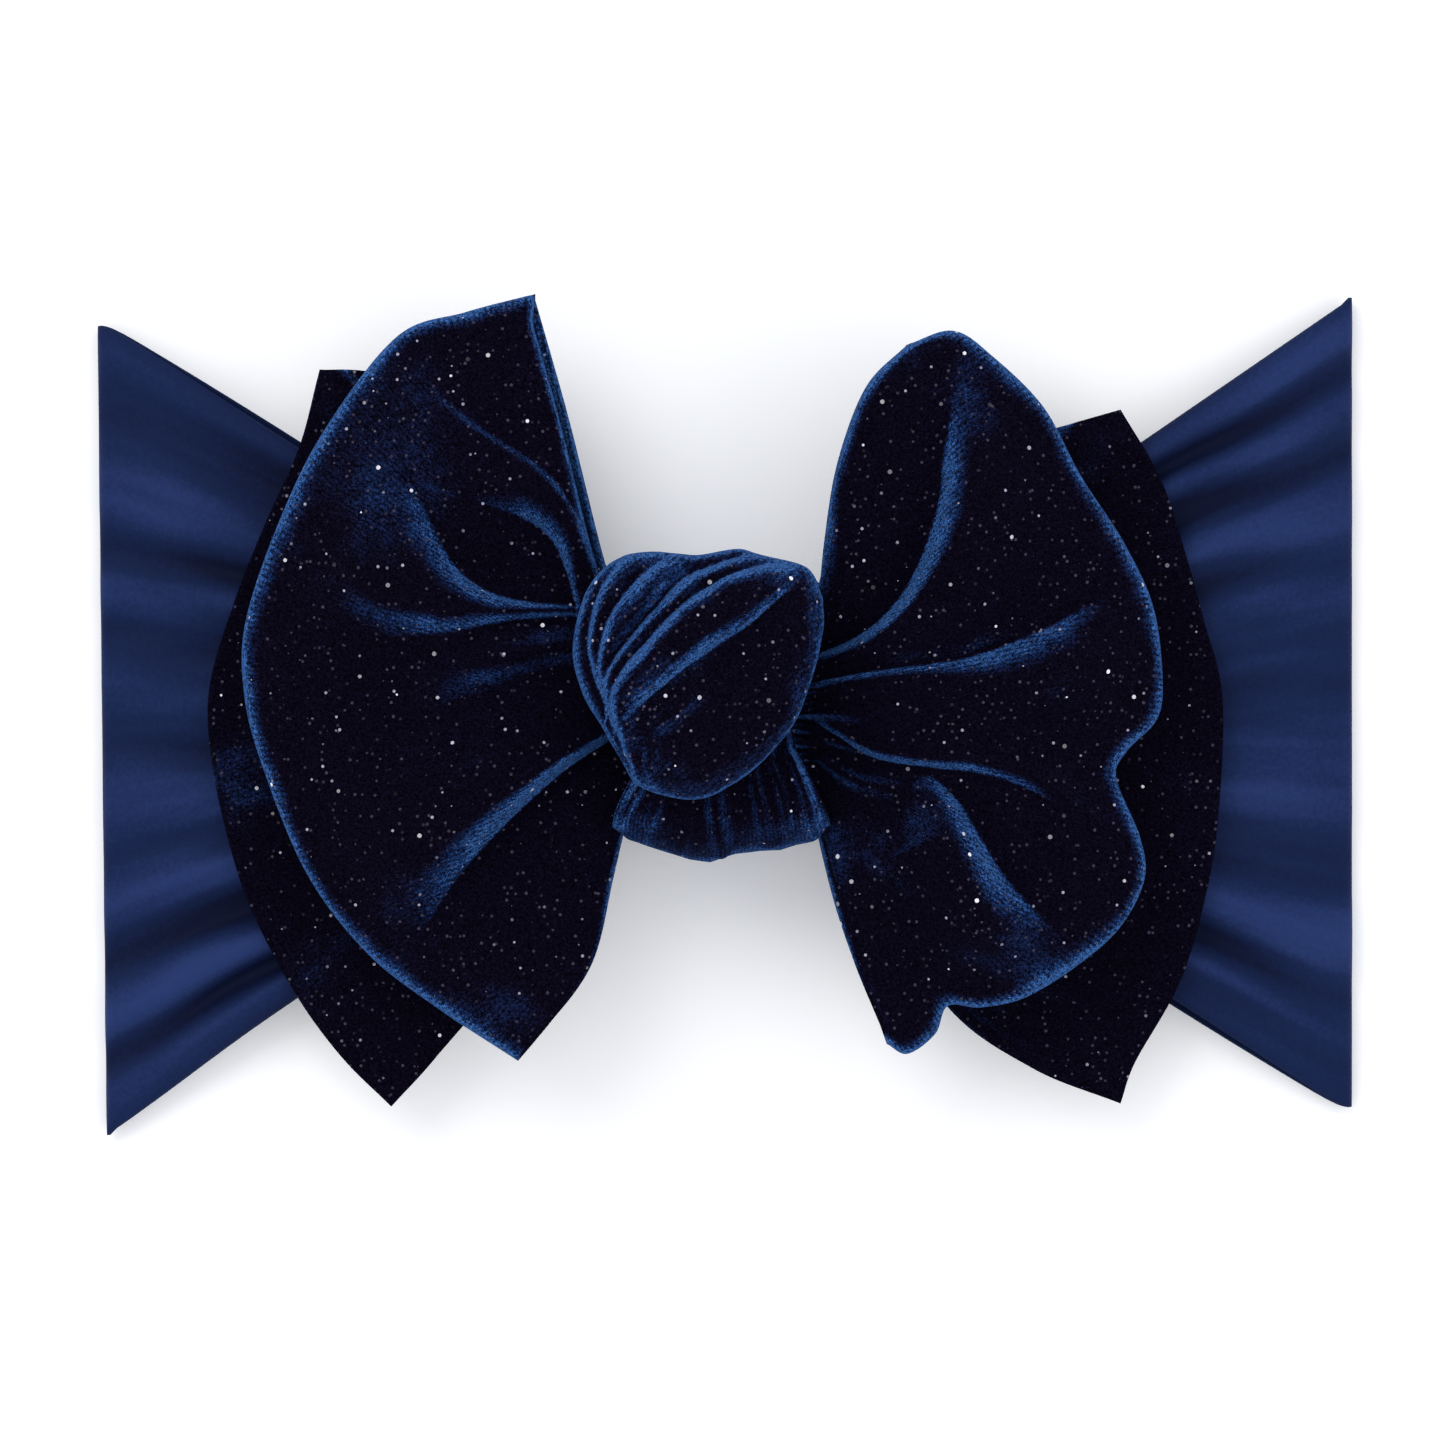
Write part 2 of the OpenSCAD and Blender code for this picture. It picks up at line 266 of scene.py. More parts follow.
class Nodes:
    """A material's node tree, with short ways to add nodes and links."""

    def __init__(self, name):
        self.material = bpy.data.materials.new(name)
        self.material.use_nodes = True
        self.tree = self.material.node_tree
        self.shader = self.tree.nodes["Principled BSDF"]

    def add(self, kind, inputs=None, **settings):
        node = self.tree.nodes.new(kind)
        for key, value in settings.items():
            setattr(node, key, value)
        for key, value in (inputs or {}).items():
            self.put(node.inputs[key], value)
        return node

    def put(self, socket, value):
        if isinstance(value, bpy.types.NodeSocket):
            self.tree.links.new(value, socket)
        else:
            socket.default_value = value

    def math(self, operation, a, b=0.0, c=0.0):
        node = self.add("ShaderNodeMath", operation=operation)
        for socket, value in zip(node.inputs, (a, b, c)):
            self.put(socket, value)
        return node.outputs[0]

    def mix(self, share, a, b, blend="MIX"):
        inputs = {"Factor": share, "A": a, "B": b}
        return self.add("ShaderNodeMix", inputs, data_type="RGBA", blend_type=blend).outputs["Result"]

    def ramp(self, value, low, high):
        """0 where value is under low and 1 where it is over high, smoothly between."""
        inputs = {"Value": value, "From Min": low, "From Max": high}
        return self.add("ShaderNodeMapRange", inputs, interpolation_type="SMOOTHSTEP").outputs["Result"]

    def noise(self, vector, scale, detail, roughness=0.5):
        inputs = {"Vector": vector, "Scale": scale, "Detail": detail, "Roughness": roughness}
        return self.add("ShaderNodeTexNoise", inputs).outputs["Fac"]

    def waves(self, along, length, sway=0.0):
        """A sine along a value, with one wave each length."""
        return self.math("SINE", self.math("MULTIPLY_ADD", along, 2 * math.pi / length, sway))

    def bump(self, height, strength, distance):
        inputs = {"Height": height, "Strength": strength, "Distance": distance}
        return self.add("ShaderNodeBump", inputs).outputs["Normal"]

    def object_place(self):
        return self.add("ShaderNodeTexCoord").outputs["Object"]

    def cloth_place(self):
        """Place on the flat cloth, in millimetres."""
        return self.add("ShaderNodeUVMap", uv_map="cloth_mm").outputs["UV"]

    def tone(self):
        return self.add("ShaderNodeAttribute", attribute_name="tone").outputs["Fac"]

    def set(self, **values):
        for key, value in values.items():
            self.put(self.shader.inputs[key.replace("_", " ")], value)


# Painted sheen: velvet's colours from pile that faces the eye to pile that turns away most, and the turns
# between them
VELVET_AND_SHEEN_COLOURS = [(0.0034, 0.0023, 0.0078, 1), (0.0058, 0.0100, 0.0370, 1), (0.0105, 0.0340, 0.119, 1),
                  (0.034, 0.100, 0.280, 1)]
VELVET_TURNS = [(0.0, 0.20), (0.12, 0.60), (0.42, 1.0)]
# Glitter in three sizes: spots to the metre, radius in spacings, the share left out, and colour
GLITTER = [(1100.0, 0.22, 0.35, (0.052, 0.045, 0.074, 1)), (620.0, 0.125, 0.64, (0.40, 0.38, 0.48, 1)),
           (340.0, 0.098, 0.58, (0.98, 0.95, 1.0, 1))]


def add_glitter(n, colour, place):
    """Scattered spots over colour."""
    for scale, radius, left_out, spot_colour in GLITTER:
        cells = n.add("ShaderNodeTexVoronoi", {"Vector": place, "Scale": scale, "Randomness": 1.0})
        chance = n.add("ShaderNodeSeparateColor", {"Color": cells.outputs["Color"]}).outputs["Green"]
        spot = n.math("LESS_THAN", cells.outputs["Distance"], radius)
        colour = n.mix(n.math("MULTIPLY", spot, n.ramp(chance, left_out, 1.0)), colour, spot_colour)
    return colour


def velvet_material(name, wale_mm=0.7):
    """Near-black navy velvet with painted sheen: blue where the pile turns away from the eye or the cloth is
    steep, plus the tone attribute's painted sheen and shade, with knit wales and scattered glitter.
    """
    n = Nodes(name)
    place = n.object_place()
    across = n.add("ShaderNodeSeparateXYZ", {"Vector": n.cloth_place()}).outputs["Y"]
    sway = n.math("MULTIPLY", n.noise(place, scale=400.0, detail=1.0), 9.0)
    wale = n.waves(across, wale_mm, sway)
    tufts = n.noise(place, scale=2400.0, detail=3.0, roughness=0.85)
    hairs = n.noise(place, scale=5200.0, detail=1.0, roughness=0.6)
    pile = n.ramp(n.math("MULTIPLY_ADD", hairs, 0.4, n.math("MULTIPLY", tufts, 0.6)), 0.36, 0.64)
    crush = n.math("SUBTRACT", n.noise(place, scale=260.0, detail=4.0, roughness=0.7), 0.5)

    # painted sheen: how far the pile turns away from the eye, and, seen from anywhere, where the cloth is
    # steep
    facing = n.add("ShaderNodeLayerWeight", {"Blend": 0.5}).outputs["Facing"]
    normal = n.add("ShaderNodeTexCoord").outputs["Normal"]
    up = n.add("ShaderNodeSeparateXYZ", {"Vector": normal}).outputs["Z"]
    steep = n.math("SUBTRACT", 1.0, n.math("ABSOLUTE", up))
    turned = n.math("MULTIPLY_ADD", steep, 0.60, n.math("MULTIPLY", facing, 0.55))

    # the pile's own unevenness makes that stronger and weaker, and the tone attribute adds painted sheen and
    # shade
    strength = n.math("MULTIPLY_ADD", pile, 0.70, 0.65)
    strength = n.math("MULTIPLY_ADD", wale, 0.22, strength)
    strength = n.math("MULTIPLY_ADD", crush, 1.7, strength)
    turned = n.math("MULTIPLY", n.math("ADD", turned, n.tone()), strength)
    turned = n.math("MULTIPLY_ADD", crush, 0.07, turned)
    lit = n.ramp(turned, 0.015, 0.88)

    # the painted sheen goes into the base colour
    colour = VELVET_AND_SHEEN_COLOURS[0]
    for (low, high), next_colour in zip(VELVET_TURNS, VELVET_AND_SHEEN_COLOURS[1:]):
        colour = n.mix(n.ramp(lit, low, high), colour, next_colour)
    grain = n.math("MULTIPLY_ADD", pile, 1.50, 0.14)
    grain = n.add("ShaderNodeCombineColor", {"Red": grain, "Green": grain, "Blue": grain})
    colour = n.mix(1.0, colour, grain.outputs["Color"], blend="MULTIPLY")
    n.set(Base_Color=add_glitter(n, colour, place), Roughness=0.95, Specular_IOR_Level=0.01,
          Sheen_Weight=0.025, Sheen_Roughness=0.4, Sheen_Tint=(0.08, 0.30, 1.0, 1),
          Normal=n.bump(pile, strength=0.5, distance=0.0002))
    return n.material


def nylon_material(name, wale_mm=0.42, course_mm=0.36):
    """Smooth navy stretch knit with a satin face, with painted highlight on its ridges and painted shade in
    its valleys and near the bow, as the tone attribute gives them.
    """
    # shaded, plain and lit colours: the tone's painted shade and highlight and the random streaks choose
    # among them
    deep, plain, light = (0.0040, 0.0068, 0.0260, 1), (0.0076, 0.0158, 0.0600, 1), (0.0190, 0.0370, 0.130, 1)
    n = Nodes(name)
    place, cloth = n.object_place(), n.cloth_place()
    parts = n.add("ShaderNodeSeparateXYZ", {"Vector": cloth}).outputs
    knit = n.math("MULTIPLY", n.waves(parts["Y"], wale_mm), n.waves(parts["X"], course_mm))
    drawn_out = n.add("ShaderNodeMapping", {"Vector": cloth, "Scale": (0.02, 0.5, 1.0)})
    streak = n.noise(drawn_out.outputs["Vector"], scale=1.0, detail=3.0)
    cloud = n.noise(place, scale=45.0, detail=2.0)
    grain = n.noise(place, scale=1700.0, detail=3.0)
    shade = n.tone()
    for pattern, strength in ((streak, 0.35), (cloud, 0.4), (grain, 0.7)):
        shade = n.math("MULTIPLY_ADD", n.math("SUBTRACT", pattern, 0.5), strength, shade)
    shade = n.math("MULTIPLY_ADD", knit, 0.09, shade)
    colour = n.mix(n.ramp(shade, -1.1, 0.1), deep, plain)
    colour = n.mix(n.ramp(shade, -0.1, 1.2), colour, light)
    height = n.math("MULTIPLY_ADD", knit, 0.5, grain)
    n.set(Base_Color=colour, Roughness=0.5, Specular_IOR_Level=0.03, Sheen_Weight=0.03,
          Sheen_Roughness=0.4, Sheen_Tint=(0.2, 0.4, 1.0, 1),
          Normal=n.bump(height, strength=0.12, distance=0.0001))
    return n.material


def thread_material(name, colour):
    """Twisted sewing thread."""
    n = Nodes(name)
    twist = n.add("ShaderNodeTexWave", wave_type="BANDS", bands_direction="DIAGONAL",
                  inputs={"Vector": n.object_place(), "Scale": 900.0, "Distortion": 1.0}).outputs["Fac"]
    shade = n.mix(twist, tuple(0.5 * c for c in colour) + (1,), tuple(colour) + (1,))
    n.set(Base_Color=shade, Roughness=0.6, Sheen_Weight=0.2, Normal=n.bump(twist, 0.5, 0.0001))
    return n.material


velvet = velvet_material("glitter_velvet")
nylon = nylon_material("nylon_knit")
thread = thread_material("navy_thread", (0.010, 0.014, 0.040))

# Thickness of the two cloths, and the tone of the rear layer's cut edges
VELVET_T = 0.8
NYLON_T = 0.45
CUT_TONE = -0.45


# ---- bow layers

# Where the lobes leave the gathered waist, which way they go, and the waist's middle, all along X
ROOT = {"left": -13.2, "right": 12.0}
SIDE = {"left": -1, "right": 1}
MIDDLE = -0.6


class Lobe:
    """A patch of cloth from the middle of the bow, through its gathered waist, out to a far edge. Its outline
    has low and high edges from the root out, and the far edge between their ends.

    xy are its points, run the distance out from the root (negative inside the waist), to_edge the distance
    to the far edge, v the share of the way across, and cut the distance from its upper cut edge."""

    def __init__(self, name, outline, u, columns, waist_rows=14, inset=0.0):
        low = resample(catmull(outline["low"]), len(u), u)
        high = resample(catmull(outline["high"]), len(u), u)
        far = [outline["low"][-1], *outline["far"], outline["high"][-1]]
        far = resample(catmull(far), columns)
        high[:, 0] += inset * SIDE[name] * smoothstep((1 - u) * 9)
        root = resample(catmull([low[0], outline["root_mid"], high[0]]), columns)
        xy = coons(root, far, low, high, u)
        run = lengths(xy)
        to_edge = run[-1:] - run
        # the waist: straight in from the root to the middle
        share = np.linspace(1, 0, waist_rows, endpoint=False)[:, None]
        inner = np.broadcast_to(xy[:1], (waist_rows, columns, 2)).copy()
        depth = share * np.abs(inner[..., 0] - MIDDLE)
        inner[..., 0] = inner[..., 0] - SIDE[name] * depth
        self.v = np.linspace(0, 1, columns)[None, :]
        self.xy = np.concatenate([inner, xy])
        self.run = np.concatenate([-depth, run])
        self.to_edge = np.concatenate([to_edge[:1] + depth, to_edge])
        across = lengths(self.xy, axis=1)
        self.cut = across[:, -1:] - across

    def pleats(self, count, height, start, length):
        """Gathering pleats, full up to start and dying away over length."""
        size = height * np.exp(-np.maximum(self.run - start, 0) / length)
        return size * wave(count * self.v + 0.35 * np.sin(9 * self.v))


# Front layer: its cloth's width, about how far a lobe reaches, the radius of its folded edge, half its
# thickness at the root and the length over which it thickens from there, how far in from the edge its folds
# are full, its gathering pleats, and the tones of its lower and upper cut edges, which paint shade there
FRONT_CLOTH = 118.0
FRONT_LENGTH = 44.0
RIM_R = 2.3
ROOT_HALF = 1.55
THICKENING = 9
EDGE_REACH = 13.0
FRONT_PLEATS = {"count": 16, "height": 1.25}
LOW_CUT_TONE, HIGH_CUT_TONE = -0.5, -0.1


def front_middle(p, mid_z):
    """Height half-way between the two plies, which waves a little across the lobe."""
    sway = 0.5 * wave(1.3 * p.v + 0.1) + 0.35 * wave(2.7 * p.v + 0.4)
    return mid_z + (0.6 + sway) * smoothstep(p.run / 40)


def upper_ply(p, side, mid_z, folds, crown, cut_roll):
    """Height of the ply that shows: crowned, folded, uneven, and rounded down to its edges."""
    grown = smoothstep(p.run / THICKENING)
    full = smoothstep(p.to_edge / EDGE_REACH)
    body = ROOT_HALF + (RIM_R - ROOT_HALF) * grown
    body = body + (crown * smoothstep(p.run / 14) + folds.z * smoothstep((p.run + 6) / 9)) * full
    for size, height, seed in ((7.5, 0.42, 3.1), (2.6, 0.12, 8.1)):
        body = body + height * noise_field(p.xy, size, seed + side) * smoothstep(p.to_edge / 3) * grown
    pleats = p.pleats(start=-3.5, length=1.5, **FRONT_PLEATS)
    z = front_middle(p, mid_z) + body * quarter_round(p.to_edge, RIM_R) + pleats
    return z - cut_roll * (1 - quarter_round(p.cut, cut_roll)) * grown


def lower_ply(p, mid_z):
    """Height of the ply behind: flatter, with gathering pleats that run far out."""
    body = ROOT_HALF + 0.9 * smoothstep(p.run / THICKENING)
    body = body + 0.8 * np.sin(2 * math.pi * 3.4 * p.v + 1) * np.exp(-((p.run - 20) / 12) ** 2)
    pleats = p.pleats(start=0, length=26, **FRONT_PLEATS) * smoothstep(p.to_edge / 12)
    return front_middle(p, mid_z) - body * quarter_round(p.to_edge, RIM_R) + pleats


def upper_tone(p, side, z, folds, crown, sheen_spots):
    """Painted shade at the root, in creases and where the cloth falls gently away, painted sheen on its
    spots, ridges and folded edge, random streaks, and painted shade along the cut edges.
    """
    inward = np.clip(p.to_edge / EDGE_REACH, 0, 1)
    lee = folds.lee + (crown + np.maximum(folds.z, 0)) * 6 * inward * (1 - inward) / EDGE_REACH
    streaks = noise_field(p.xy, 13.0, 5.5 + side) * smoothstep(p.run / THICKENING)
    tone = sheen_spots + 0.015 - 0.14 * np.exp(-(np.maximum(p.run, 0) / 6) ** 2) + 0.05 * standing(z)
    tone = tone + 0.06 * streaks - 0.42 * np.minimum(lee, 0.8) ** 2
    tone = tone + 0.07 * np.exp(-(p.to_edge / 2.6) ** 2)
    tone[:, 0], tone[:, -1] = LOW_CUT_TONE, HIGH_CUT_TONE
    return tone


def front_lobe(name, outline, relief, puff, sheen_spots):
    """One lobe of the front layer: two plies joined by a folded far edge."""
    low, high = box_mm(f"front_bow_{name}_lobe")
    mid_z = (low[2] + high[2]) / 2
    columns, upper_rows, lower_rows, rim_rows = 280, 84, 40, 9
    rim_u = 1 - RIM_R / FRONT_LENGTH
    round_rim = rim_u + (1 - rim_u) * np.sin(np.linspace(0, math.pi / 2, rim_rows))[1:]
    upper = Lobe(name, outline, np.concatenate([np.linspace(0, rim_u, upper_rows), round_rim]), columns,
                 inset=outline["inset"])
    lower = Lobe(name, outline, np.concatenate([np.linspace(0, rim_u, lower_rows), round_rim]), columns)
    folds, crown = relief(upper.xy), puff(upper.xy)
    z = upper_ply(upper, SIDE[name], mid_z, folds, crown, outline["cut_roll"])

    # out along the upper ply, round the fold, and back along the lower one
    behind = np.dstack([lower.xy, lower_ply(lower, mid_z)])
    points = np.concatenate([np.dstack([upper.xy, z]), behind[-2::-1]])
    run = np.concatenate([upper.run, 2 * upper.run[-1:] - lower.run[-2::-1]])
    uv = np.dstack(np.broadcast_arrays(run, upper.v * FRONT_CLOTH))
    # painted sheen on the lower ply's strip beside the upper cut, and painted shade along its lower cut edge
    inner_painted_light = outline["inner_painted_light"] * smoothstep((1.8 - lower.cut[-2::-1]) / 0.6)
    inner_painted_light[:, 0] = LOW_CUT_TONE
    tone = np.concatenate([upper_tone(upper, SIDE[name], z, folds, crown, sheen_spots(upper.xy)), inner_painted_light])
    return sheet_mesh(f"front_bow_{name}", points, uv, velvet, tone=tone, thickness=VELVET_T)


LEFT_FRONT = {
    "low": [(-13.2, -12), (-15.2, -21), (-17.6, -31.8), (-22.8, -39.7), (-26.7, -44.5)],
    "high": [(-13.2, 13.5), (-15.8, 21), (-20.2, 38.6), (-24.7, 54.5)],
    "root_mid": (-13.2, 1.0),
    "far": [(-37.1, -37.7), (-46.3, -30.5), (-54.1, -20.1), (-60, -5.7), (-62.2, 3.4),
            (-61.9, 12.5), (-57.4, 25.6), (-51.5, 37.3), (-42.3, 49.1), (-33.5, 52.2)],
    "inset": 1.2, "cut_roll": 1.3, "inner_painted_light": 0.42,
}

RIGHT_FRONT = {
    "low": [(12, -11.5), (13.4, -18), (15.3, -25.5), (18.4, -35), (20.9, -42.3)],
    "high": [(12, 13.5), (12.9, 23), (14.6, 33), (18.2, 42.5), (23.5, 48)],
    "root_mid": (12.0, 1.0),
    "far": [(23.6, -43.6), (27.2, -41), (28.8, -37.4), (33, -37.6), (38.6, -36.4),
            (45.1, -32.5), (51, -27.3), (54.2, -21), (53.6, -15.5), (50.6, -8), (52, -4.5), (55.8, -0.5),
            (56.6, 4.5), (55.4, 14), (51.5, 22.5), (46, 31), (41.2, 39.9), (34.6, 46.5), (29.5, 49.8)],
    "inset": 0.0, "cut_roll": 2.6, "inner_painted_light": 0.0,
}


def left_relief(xy):
    """Folds of the left front lobe: each line runs out from the knot."""
    relief = Relief(xy)
    # the big pleat below, high on its upper left side
    relief.fold([(-13, -2, 2.6, 1.1), (-20.2, -6.7, 3.8, 1.5), (-25.8, -11.6, 4.4, 2.3),
                 (-30, -15.8, 4.6, 3.5), (-34.2, -20.7, 4, 4.8), (-37.6, -26, 2.8, 5.6),
                 (-40.5, -31.5, 0.1, 5.6)], side=-1, fall=15)
    # the two lips round the pocket above
    relief.fold([(-16, 14, 1.2, 0.9), (-24.4, 14.6, 1.9, 1.3), (-30, 15.9, 2.6, 2.1), (-34.2, 18.8, 3.1, 3),
                 (-36.9, 23.2, 2.9, 3.8), (-39.4, 28.5, 1.7, 4.2), (-42, 34, 0, 4.2)], fall=12)
    relief.fold([(-19.2, 14, 1.3, 1), (-20.6, 19, 2.5, 1.7), (-22.6, 23, 3, 2.6), (-26, 25.4, 2.6, 3.2),
                 (-30.5, 27, 1.2, 3.4), (-33.5, 28, 0.2, 3)], side=-1, fall=9)
    # thin crease that runs straight out, with a soft swell above its end
    relief.fold([(-14, 13, 1.6, 1), (-22, 12.8, 1.8, 1.2), (-28, 12.2, 1.5, 1.3), (-34.2, 11.2, 1.2, 1.8),
                 (-40, 10.4, 0.7, 2.2), (-47, 9.8, 0, 2.2)], side=-1, fall=7)
    relief.swell([(-34, 12.2, 0.5, 1.5), (-41, 13.8, 1, 1.8), (-47, 15.6, 0.9, 2.1), (-54, 17.4, 0, 2.4)])
    # soft ridge below it
    relief.swell([(-14, 9.6, 1.5, 1.5), (-21, 8.8, 2, 2), (-28, 7.2, 2.3, 2.6), (-35, 5.4, 2.1, 3),
                  (-43.5, 2, 0, 3.6)])
    relief.swell([(-14, 4.2, 0.9, 1.2), (-20, 2.8, 1, 1.6), (-26, 1.4, 0, 2)])
    # the corner panel above lies lower than the rest
    relief.fold([(-16, 19, 0.4, 0.9), (-20.2, 28, 0.65, 0.9), (-24.4, 32.6, 0.7, 1), (-30, 36.2, 0.6, 1),
                 (-35.5, 40.4, 0.4, 1), (-39.6, 45, 0.2, 1), (-42, 49, 0, 1)], fall=9)
    return relief


def left_puff(xy):
    """Height of the left lobe's crown, greater where it falls steeply to the fold."""
    x, y = xy[..., 0], xy[..., 1]
    upper = smoothstep((y - 4) / 22) * smoothstep((-x - 24) / 14)
    lower = smoothstep((-y - 22) / 12)
    return 1.8 + upper + 0.2 * lower


def right_relief(xy):
    """Folds of the right front lobe."""
    relief = Relief(xy)
    # the S-shaped fold beside the long upper panel, which tucks under it
    relief.fold([(9.5, 7, 2.2, 0.9), (17.2, 10.4, 3.4, 1.2), (21.8, 14.4, 4.2, 1.5), (25, 19.8, 4.6, 2.2),
                 (27.2, 26.4, 4.2, 3.2), (28, 33.1, 3.6, 3.8), (28.9, 38.8, 2.6, 4), (30.2, 45.5, 0.2, 3.6)],
                side=-1, fall=13, valley=0.08)
    # the broad ridge across the middle
    relief.fold([(11, 4.4, 1.4, 0.9), (19.8, 6, 2, 1.3), (29.8, 7.4, 3, 2.6), (36.5, 9.4, 3.7, 3.9),
                 (43.1, 12.4, 3.7, 4.6), (49, 16, 2.2, 4.6), (53, 19, 0, 4.4)], side=-1, fall=9)
    # short pleats by the knot
    relief.swell([(11, 0.8, 0.8, 0.8), (15.2, 0.4, 1.2, 0.9), (20.5, 0, 0.7, 1.3), (25, -0.4, 0, 1.5)])
    relief.swell([(11, -1.8, 0.8, 0.6), (14.2, -3.2, 1, 0.7), (18.5, -4.6, 0.4, 0.8), (21, -5.2, 0, 1)])
    relief.fold([(10.5, 0, 1.2, 0.7), (15.2, -3.1, 1.8, 0.8), (19.8, -5.5, 2, 0.9), (26.5, -6.6, 1.8, 1.1),
                 (33.1, -7.4, 1.5, 1.2), (39.8, -9.8, 1.1, 1.5), (44.5, -13.2, 0.5, 1.7), (48, -17, 0, 1.7)],
                fall=10)
    relief.swell([(12.5, -5.5, 0.9, 0.8), (17, -8.4, 1.1, 1), (22.5, -9.6, 0.7, 1.3), (27, -10.2, 0, 1.5)])
    # the broad ridge that runs down to the lower edge
    relief.fold([(25.5, -7, 0, 1.6), (28.2, -9, 2, 2), (30.6, -11.6, 3.4, 2.8), (32.6, -15, 4.2, 3.4),
                 (35.8, -20.2, 4.4, 4.6), (40, -25, 3.4, 5.2), (44.6, -28.6, 1.4, 5.2), (47.5, -30.5, 0, 5)],
                side=-1, fall=9)
    # soft swells in the tail
    relief.swell([(13, -11, 0.7, 1.8), (19, -17, 1.1, 2.6), (25.8, -21.5, 0.7, 3), (29, -25, 0, 3)])
    relief.swell([(14.5, -16, 0.4, 1.5), (18.5, -26, 0.7, 2.1), (22, -36, 0, 2.4)])
    return relief


def right_puff(xy):
    """Height of the right lobe's crown, greater towards its lower fold."""
    x, y = xy[..., 0], xy[..., 1]
    lower = smoothstep((-y - 18) / 10) * smoothstep((x - 24) / 8)
    return 1.8 + 0.7 * lower


def left_sheen_spots(xy):
    """Painted sheen: spots where the left front lobe's pile looks bluer."""
    return spots(xy, (-44, 30, 10, 10, 0.15), (-52, 20, 6, 8, 0.05), (-46, 42, 8, 6, 0.09),
                 (-30, -38.5, 7, 4, 0.16), (-43, -31, 9, 5, 0.05), (-22, -28, 6, 8, 0.012),
                 (-38, -27, 4, 5, 0.04), (-24, 44, 6, 8, 0.012))


def right_sheen_spots(xy):
    """Painted sheen spots on the right front lobe, and one faint spot of painted shade."""
    return spots(xy, (40, -34, 11, 3.8, 0.17), (19, -18, 7, 5, 0.11), (25, 47, 7, 4, 0.03),
                 (20, 30, 5, 12, -0.02), (31, 41.5, 2.2, 5, 0.20), (44, -28, 5, 4, 0.05),
                 (36, 6, 12, 3, 0.03))


left_front = front_lobe("left", LEFT_FRONT, left_relief, left_puff, left_sheen_spots)
right_front = front_lobe("right", RIGHT_FRONT, right_relief, right_puff, right_sheen_spots)

# Rear layer: its cloth's width, and how much lighter it is than plain velvet
REAR_CLOTH = 105.0
REAR_TONE = 0.022

LEFT_REAR = {
    "low": [(-13.2, -10), (-20, -19), (-30, -35), (-37.1, -43.8), (-43.5, -50.8)],
    "high": [(-13.2, 11), (-22, 25), (-34, 39), (-45.6, 44.6), (-52.8, 45.2)],
    "root_mid": (-13.2, 0.5),
    "far": [(-49.8, -44.6), (-55.4, -37.1), (-60.2, -28.6), (-63.6, -20.4), (-66.6, -8),
            (-67.4, 3), (-64.2, 14.5), (-60.2, 24.6), (-55.6, 34.9)],
}

RIGHT_REAR = {
    "low": [(12, -10), (20, -22), (28.8, -37.6), (40, -45.8), (51.6, -50.5)],
    "high": [(12, 11), (22, 24), (33, 35), (43.2, 37.6), (51.6, 40)],
    "root_mid": (12.0, 0.5),
    "far": [(53.6, -44.9), (59.2, -35.1), (62.2, -25.8), (64.2, -15), (65, 2), (62.4, 13),
            (59.6, 23), (56.6, 31.5)],
}


def rear_lobe(name, outline, relief, tone):
    """One half of the rear layer: a single ply that ends in a plain cut."""
    low, high = box_mm(f"rear_bow_{name}_lobe")
    p = Lobe(name, outline, np.linspace(0, 1, 90), 260)
    # the sheet follows the CAD lobe, whose root is high and tip low, and goes a little past its end
    below_top, above_bottom, furthest = 0.8, 1.5, 1.05
    out = np.clip((np.abs(p.xy[..., 0]) - abs(ROOT[name])) / (high[0] - low[0]), 0, furthest)
    root_z, tip_z = high[2] - below_top, low[2] + above_bottom
    free = smoothstep(p.run / 20)
    z = root_z + (tip_z - root_z) * out + relief(p.xy).z * smoothstep((p.to_edge + 6) / 10) * free
    z = z + p.pleats(count=15, height=1.0, start=0, length=34) * smoothstep((p.to_edge - 4) / 14)
    z = z + 0.30 * noise_field(p.xy, 8.0, 7.7 + SIDE[name]) * free
    uv = np.dstack(np.broadcast_arrays(p.run, p.v * REAR_CLOTH))
    # painted sheen spots over the rear layer's lighter tone, and darker cut edges
    tones = REAR_TONE + tone(p.xy)
    tones[-1] = tones[:, 0] = tones[:, -1] = CUT_TONE
    return sheet_mesh(f"rear_bow_{name}", np.dstack([p.xy, z]), uv, velvet, tone=tones, thickness=VELVET_T,
                      upward=True)


def left_rear_relief(xy):
    """Waves in the left rear lobe's edge, and the fold at its upper corner."""
    relief = Relief(xy)
    relief.swell([(-45, -4, 0.6, 4), (-60, -7.5, 1.4, 4), (-68, -10, 1.4, 4)])
    relief.swell([(-40, -26, 0.6, 4), (-52, -36, 1.2, 4), (-57, -41, 0.6, 4)])
    relief.swell([(-40, 22, 0.5, 4), (-60, 30, 0.8, 4)])
    relief.fold([(-34, 33, 0.6, 1.2), (-42, 40, 1.3, 1.6), (-47, 43.5, 1.5, 1.8), (-51, 47, 1, 1.6)], fall=8)
    return relief


def right_rear_relief(xy):
    """The same for the right rear lobe."""
    relief = Relief(xy)
    relief.swell([(45, -6, 0.6, 4), (55, -9.5, 1.2, 4), (66, -13, 1, 4)])
    relief.swell([(42, 20, 0.5, 4), (60, 28, 0.9, 4)])
    relief.swell([(40, -30, 0.6, 4), (56, -42, 0.9, 4)])
    relief.fold([(30, 30, 0.6, 1.2), (39, 35, 1.2, 1.6), (43.5, 37.5, 1.5, 1.8), (46, 40, 1, 1.6)],
                side=-1, fall=8)
    return relief


